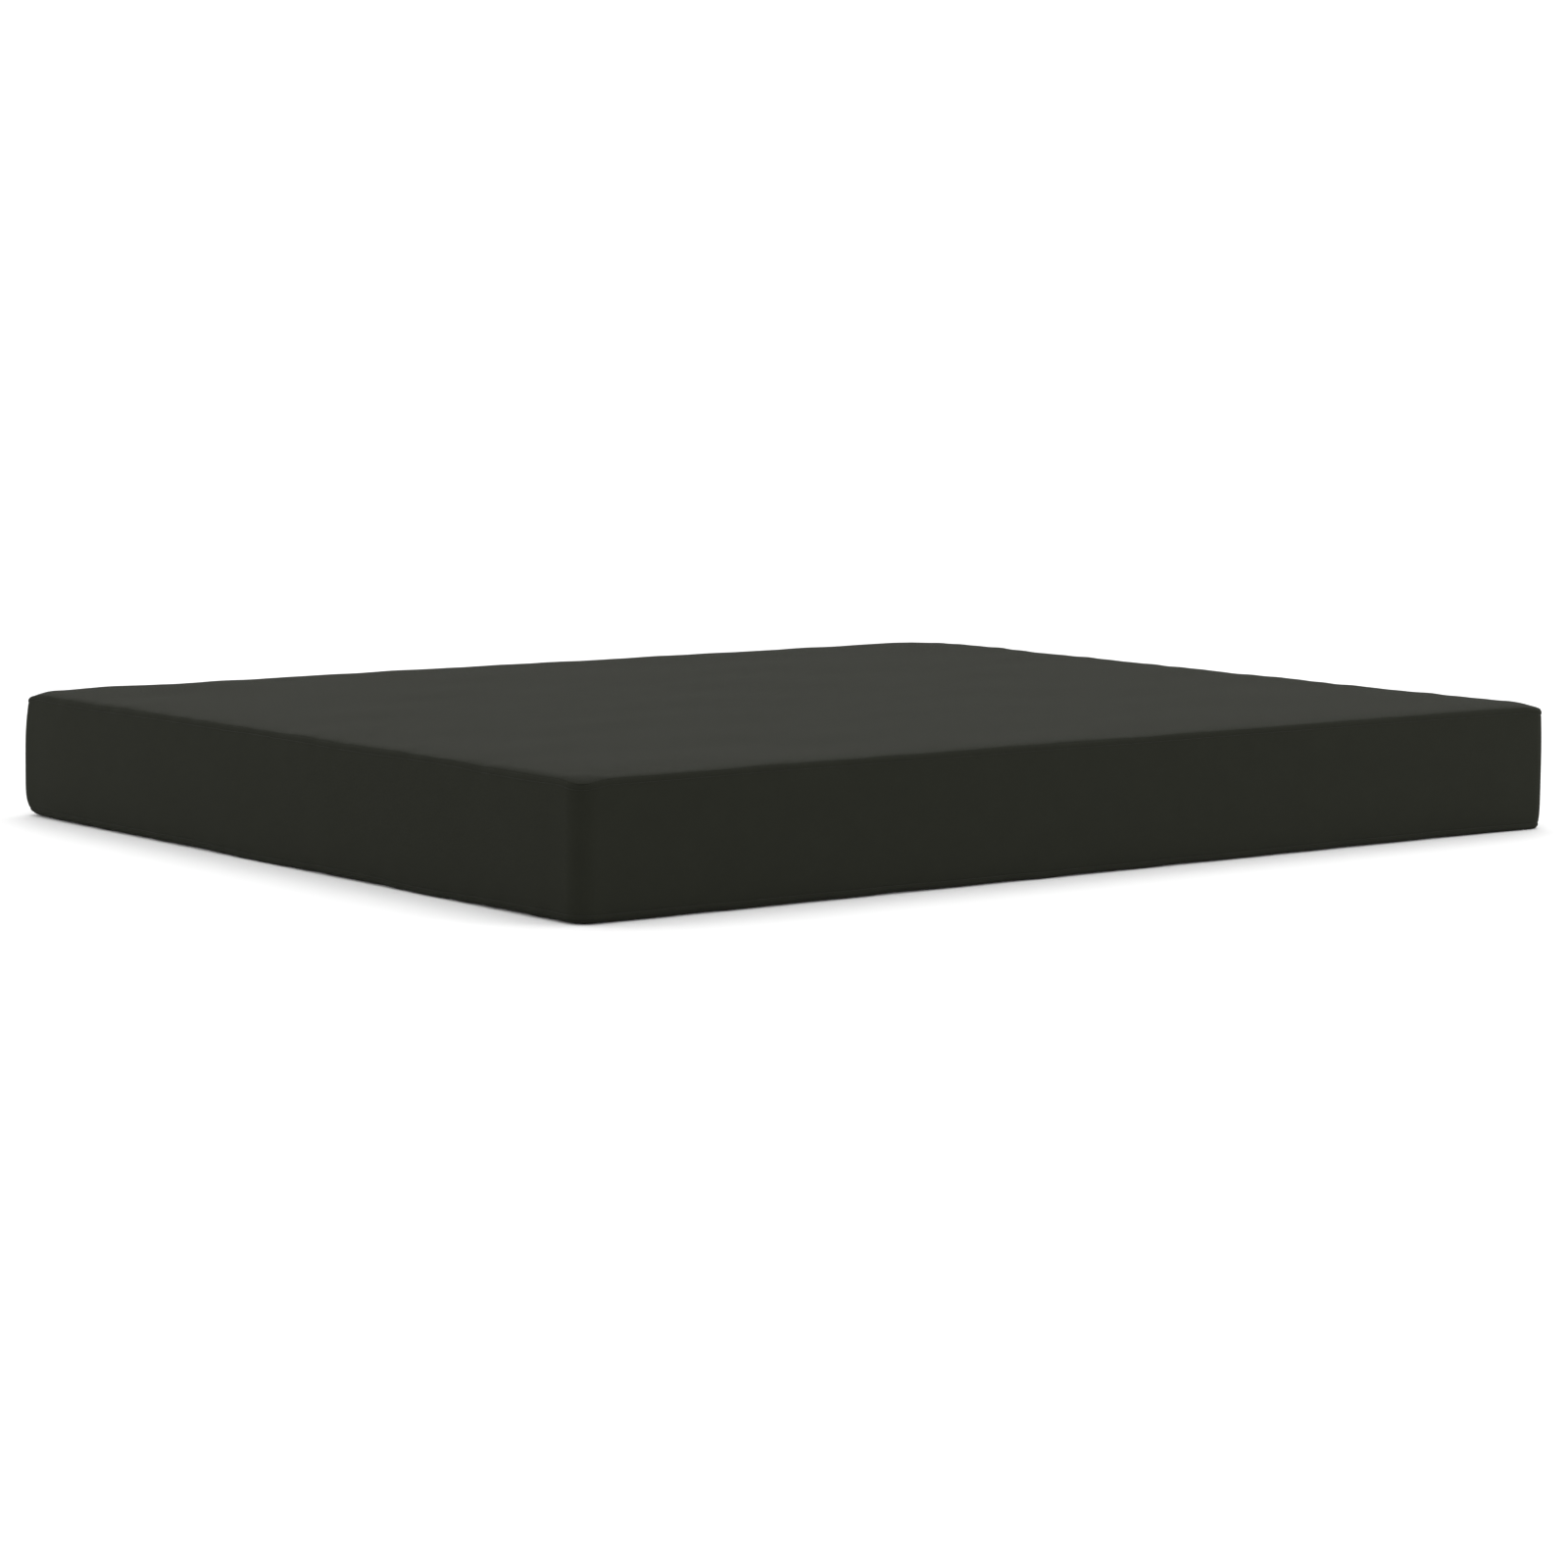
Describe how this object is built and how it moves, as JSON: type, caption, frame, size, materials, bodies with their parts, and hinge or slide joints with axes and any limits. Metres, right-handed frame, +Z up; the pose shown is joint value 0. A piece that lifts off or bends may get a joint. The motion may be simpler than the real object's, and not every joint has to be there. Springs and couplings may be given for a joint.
{
  "type": "futon mattress",
  "caption": "Flat boxed futon mattress in a dark plain cloth cover with a rear zip; layered filling that folds in half along its length.",
  "frame": {"origin": "centre of the underside, on the surface that the mattress lies on", "axes": "+X along the long side, to the right seen from the front; +Y to the rear, where the zip is; +Z up through the thickness"},
  "size_m": [2, 1.6055, 0.208],
  "materials": {
    "cover_cloth": "matte",
    "sewing_thread": "matte",
    "zip_tape": "matte",
    "zip_coil": "satin",
    "zip_metal": "satin",
    "label_cloth": "matte",
    "muslin": "matte",
    "cotton_batt": "matte",
    "fibre_batt": "matte",
    "foam": "matte",
    "tuft_twine": "matte",
    "tuft_felt": "matte"
  },
  "bodies": {
    "seat_half": {"cover_bottom_panel": "cover_cloth", "cover_top_panel": "cover_cloth", "cover_boxing_band": "cover_cloth", "cover_topstitch_lower": "sewing_thread", "cover_topstitch_upper": "sewing_thread", "casing_bottom": "muslin", "casing_top": "muslin", "casing_band": "muslin", "seat_cotton_batt_lower": "cotton_batt", "seat_fibre_batt_lower": "fibre_batt", "seat_foam_slab_lower": "foam", "seat_foam_slab_upper": "foam", "seat_fibre_batt_upper": "fibre_batt", "seat_cotton_batt_upper": "cotton_batt", "seat_tuft_washers_lower": "tuft_felt", "seat_tuft_washers_upper": "tuft_felt", "seat_tuft_twine": "tuft_twine"},
    "back_half": {"cover_rear_strip_lower": "cover_cloth", "cover_rear_strip_upper": "cover_cloth", "care_label": "label_cloth", "zip_tape_upper": "zip_tape", "zip_tape_lower": "zip_tape", "zip_coil_upper": "zip_coil", "zip_coil_lower": "zip_coil", "zip_stitch_upper": "sewing_thread", "zip_stitch_lower": "sewing_thread", "zip_top_stops": "zip_metal", "zip_bottom_stop": "zip_metal", "zip_end_tab_left": "zip_tape", "zip_end_tab_right": "zip_tape", "back_cotton_batt_lower": "cotton_batt", "back_fibre_batt_lower": "fibre_batt", "back_foam_slab_lower": "foam", "back_foam_slab_upper": "foam", "back_fibre_batt_upper": "fibre_batt", "back_cotton_batt_upper": "cotton_batt", "back_tuft_washers_lower": "tuft_felt", "back_tuft_washers_upper": "tuft_felt", "back_tuft_twine": "tuft_twine"},
    "slider": {"zip_slider": "zip_metal"},
    "pull_tab": {"zip_pull_tab": "zip_metal"}
  },
  "joints": [
    {"name": "fold", "type": "hinge", "parent": "seat_half", "child": "back_half", "pos_m": [0, 0, 0.208], "axis": [1, 0, 0], "range_deg": [0, 75], "deforming": ["cover_bottom_panel", "cover_top_panel", "cover_boxing_band", "cover_topstitch_lower", "cover_topstitch_upper", "casing_bottom", "casing_top", "casing_band"]},
    {"name": "zip_slide", "type": "slide", "parent": "back_half", "child": "slider", "axis": [-1, 0, 0], "range_m": [0, 1.788]},
    {"name": "pull_swing", "type": "hinge", "parent": "slider", "child": "pull_tab", "pos_m": [0.8942, 0.8033, 0.104], "axis": [0, 0, 1], "range_deg": [0, 180]}
  ]
}
